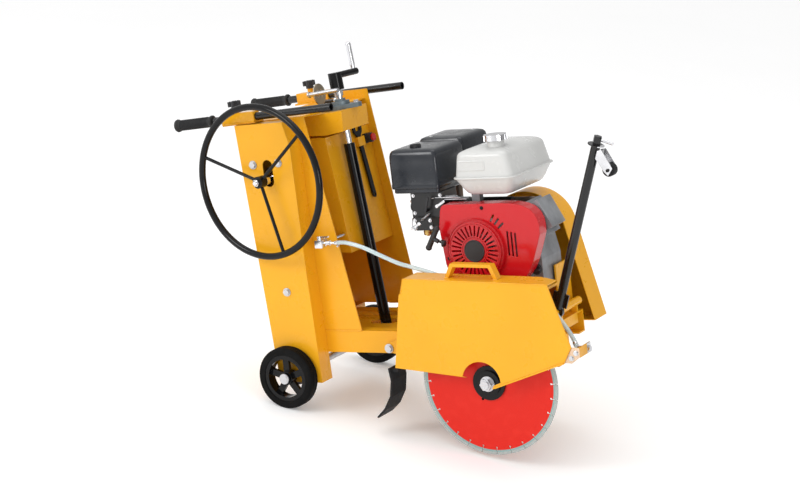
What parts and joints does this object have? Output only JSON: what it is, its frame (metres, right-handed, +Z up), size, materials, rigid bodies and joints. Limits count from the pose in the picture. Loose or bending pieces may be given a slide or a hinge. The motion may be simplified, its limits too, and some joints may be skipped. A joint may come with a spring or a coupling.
{
  "type": "walk-behind concrete saw",
  "caption": "Walk-behind concrete saw: sheet-metal column with handles, push handwheel and depth crank, petrol engine, belt-driven diamond blade under a lifting guard, front guide pole.",
  "frame": {"origin": "on the floor, at the centre of the machine's bounding box seen from above", "axes": "+X forward in the cutting direction, +Y to the operator's left, +Z up"},
  "size_m": [1.5219, 0.657, 1.1307],
  "materials": {
    "yellow_paint": "gloss enamel",
    "black_paint": "gloss enamel",
    "black_plastic": "satin moulded",
    "steel": "machined",
    "chrome": "polished",
    "casting": "as cast",
    "bearing_paint": "grey painted casting",
    "bronze": "tarnished",
    "tyre": "moulded",
    "rubber": "matte",
    "hose": "clear soft tube",
    "blade_red": "sprayed enamel",
    "shroud_red": "gloss enamel",
    "tank_white": "gloss enamel",
    "filter_grey": "satin moulded",
    "button_red": "moulded",
    "chain_steel": "oiled",
    "burnt_steel": "heat dulled"
  },
  "bodies": {
    "frame": {"chassis_frame": "yellow_paint", "engine_bed": "yellow_paint", "rear_column": "yellow_paint", "water_tank": "yellow_paint", "chain_cover": "yellow_paint", "top_console": "yellow_paint", "screw_bearing": "bearing_paint", "lock_disc": "bronze", "pillow_blocks": "bearing_paint", "hand_bearing": "bearing_paint", "drive_chain": "chain_steel", "belt_cover": "yellow_paint", "drive_belts": "rubber", "crankcase": "casting", "fan_shroud": "shroud_red", "recoil_cover": "shroud_red", "fuel_tank": "tank_white", "air_cleaner": "filter_grey", "carburettor": "black_plastic", "muffler": "filter_grey", "water_cock": "chrome", "water_hose": "hose", "frame_bolts": "steel", "stop_switch": "black_plastic"},
    "guard": {"blade_guard": "yellow_paint", "guard_handle": "yellow_paint", "spray_block": "yellow_paint", "mud_flap": "rubber"},
    "blade_set": {"blade": "blade_red", "blade_flanges": "black_paint", "arbor_nut": "steel", "arbor_shaft": "steel", "driven_pulley": "bearing_paint"},
    "engine_shaft": {"drive_pulley": "bearing_paint"},
    "rear_wheels": {"rear_axle": "steel", "rear_rims": "black_paint", "rear_tyres": "tyre"},
    "hand_drive": {"hand_shaft": "chrome", "handwheel": "black_paint"},
    "depth_frame": {"depth_arm": "black_paint"},
    "front_wheels": {"front_rims": "black_paint", "front_tyres": "tyre"},
    "depth_link": {"depth_tube": "black_paint"},
    "depth_crank": {"lead_screw": "chrome", "crank_arm": "black_paint"},
    "crank_grip": {"crank_grip": "chrome"},
    "lock_pin": {"lock_pin": "steel"},
    "near_handle": {"near_handle": "black_paint"},
    "far_handle": {"far_handle": "black_paint"},
    "near_knob": {"near_knob": "black_plastic"},
    "far_knob": {"far_knob": "black_plastic"},
    "guide_pole": {"guide_pole": "black_paint"},
    "guide_roller": {"guide_roller": "rubber"},
    "cock_lever": {"cock_lever": "chrome"},
    "stop_button": {"stop_button": "button_red"},
    "spanner": {"spanner": "black_paint"},
    "recoil_grip": {"recoil_grip": "black_plastic"},
    "fuel_cap": {"fuel_cap": "chrome"},
    "filler_cap": {"filler_cap": "black_plastic"},
    "throttle_lever": {"throttle_lever": "black_plastic"}
  },
  "joints": [
    {"name": "blade_spin", "type": "hinge", "parent": "frame", "child": "blade_set", "pos_m": [0.45041, 0.0145, 0.24326], "axis": [0, 1, 0], "continuous": true},
    {"name": "engine_spin", "type": "hinge", "parent": "frame", "child": "engine_shaft", "pos_m": [0.29971, 0.0145, 0.6042], "axis": [0, 1, 0], "continuous": true},
    {"name": "rear_axle_spin", "type": "hinge", "parent": "frame", "child": "rear_wheels", "pos_m": [-0.242, 0.0145, 0.1], "axis": [0, 1, 0], "continuous": true},
    {"name": "handwheel_spin", "type": "hinge", "parent": "frame", "child": "hand_drive", "pos_m": [-0.37911, -0.2425, 0.72309], "axis": [0.1241, 0.9919, 0.0275], "continuous": true},
    {"name": "depth_swing", "type": "hinge", "parent": "frame", "child": "depth_frame", "pos_m": [0.12466, 0.0145, 0.20177], "axis": [0, -1, 0], "range_deg": [0, 39.5]},
    {"name": "front_axle_spin", "type": "hinge", "parent": "depth_frame", "child": "front_wheels", "pos_m": [0.29617, 0.0145, 0.075], "axis": [0, 1, 0], "continuous": true},
    {"name": "depth_tube_slide", "type": "slide", "parent": "frame", "child": "depth_link", "axis": [-0.3173, 0, 0.9483], "range_m": [-0.13, 0.01]},
    {"name": "depth_crank_turn", "type": "hinge", "parent": "frame", "child": "depth_crank", "pos_m": [-0.28376, 0.0145, 0.93902], "axis": [-0.3173, 0, 0.9483], "range_deg": [-10, 2720]},
    {"name": "crank_grip_spin", "type": "hinge", "parent": "depth_crank", "child": "crank_grip", "pos_m": [-0.29671, 0.10025, 1.04013], "axis": [-0.3173, 0, 0.9483], "continuous": true},
    {"name": "lock_pin_pull", "type": "slide", "parent": "frame", "child": "lock_pin", "axis": [0.9483, 0, 0.3173], "range_m": [0, 0.012], "stiffness_N_per_m": 400, "springref_m": -0.01},
    {"name": "near_handle_slide", "type": "slide", "parent": "frame", "child": "near_handle", "axis": [0.9603, 0, 0.279], "range_m": [-0.24, 0.03]},
    {"name": "far_handle_slide", "type": "slide", "parent": "frame", "child": "far_handle", "axis": [0.9603, 0, 0.279], "range_m": [-0.24, 0.03]},
    {"name": "near_knob_turn", "type": "hinge", "parent": "frame", "child": "near_knob", "pos_m": [-0.52902, -0.2135, 0.8888], "axis": [-0.279, 0, 0.9603], "range_deg": [0, 350]},
    {"name": "far_knob_turn", "type": "hinge", "parent": "frame", "child": "far_knob", "pos_m": [-0.52902, 0.2425, 0.8888], "axis": [-0.279, 0, 0.9603], "range_deg": [0, 350]},
    {"name": "guide_pole_fold", "type": "hinge", "parent": "frame", "child": "guide_pole", "pos_m": [0.56711, -0.0455, 0.45145], "axis": [0, 1, 0], "range_deg": [-8, 100]},
    {"name": "guide_roller_spin", "type": "hinge", "parent": "guide_pole", "child": "guide_roller", "pos_m": [0.68688, -0.0455, 0.9264], "axis": [0, 1, 0], "continuous": true},
    {"name": "guard_lift", "type": "hinge", "parent": "frame", "child": "guard", "pos_m": [0.07165, -0.1855, 0.25148], "axis": [0, -1, 0], "range_deg": [0, 40], "deforming": ["water_hose"]},
    {"name": "cock_lever_turn", "type": "hinge", "parent": "frame", "child": "cock_lever", "pos_m": [-0.19274, -0.2215, 0.5616], "axis": [-0.2164, 0, 0.9763], "range_deg": [0, 90]},
    {"name": "stop_button_press", "type": "slide", "parent": "frame", "child": "stop_button", "axis": [-0.9391, 0, -0.3437], "range_m": [0, 0.003], "stiffness_N_per_m": 600, "springref_m": -0.002},
    {"name": "spanner_lift", "type": "slide", "parent": "frame", "child": "spanner", "axis": [-0.3428, -0.0698, 0.9368], "range_m": [0, 0.04]},
    {"name": "recoil_pull", "type": "slide", "parent": "frame", "child": "recoil_grip", "axis": [-0.5873, -0.8037, 0.0962], "range_m": [0, 0.25], "stiffness_N_per_m": 40, "springref_m": -0.25},
    {"name": "fuel_cap_turn", "type": "hinge", "parent": "frame", "child": "fuel_cap", "pos_m": [0.2899, -0.0195, 0.93492], "axis": [-0.2164, 0, 0.9763], "range_deg": [0, 120]},
    {"name": "filler_cap_turn", "type": "hinge", "parent": "frame", "child": "filler_cap", "pos_m": [-0.40539, 0.1345, 0.8832], "axis": [-0.2164, 0, 0.9763], "range_deg": [0, 180]},
    {"name": "throttle_turn", "type": "hinge", "parent": "frame", "child": "throttle_lever", "pos_m": [0.09237, -0.0555, 0.68012], "axis": [0, 1, 0], "range_deg": [-15, 25]}
  ],
  "couplings": [
    {"joint": "engine_spin", "follows": "blade_spin", "ratio": 0.745},
    {"joint": "handwheel_spin", "follows": "rear_axle_spin", "ratio": 1},
    {"joint": "depth_tube_slide", "follows": "depth_swing", "m_per_rad": -0.162},
    {"joint": "depth_crank_turn", "follows": "depth_swing", "ratio": 63.6}
  ]
}
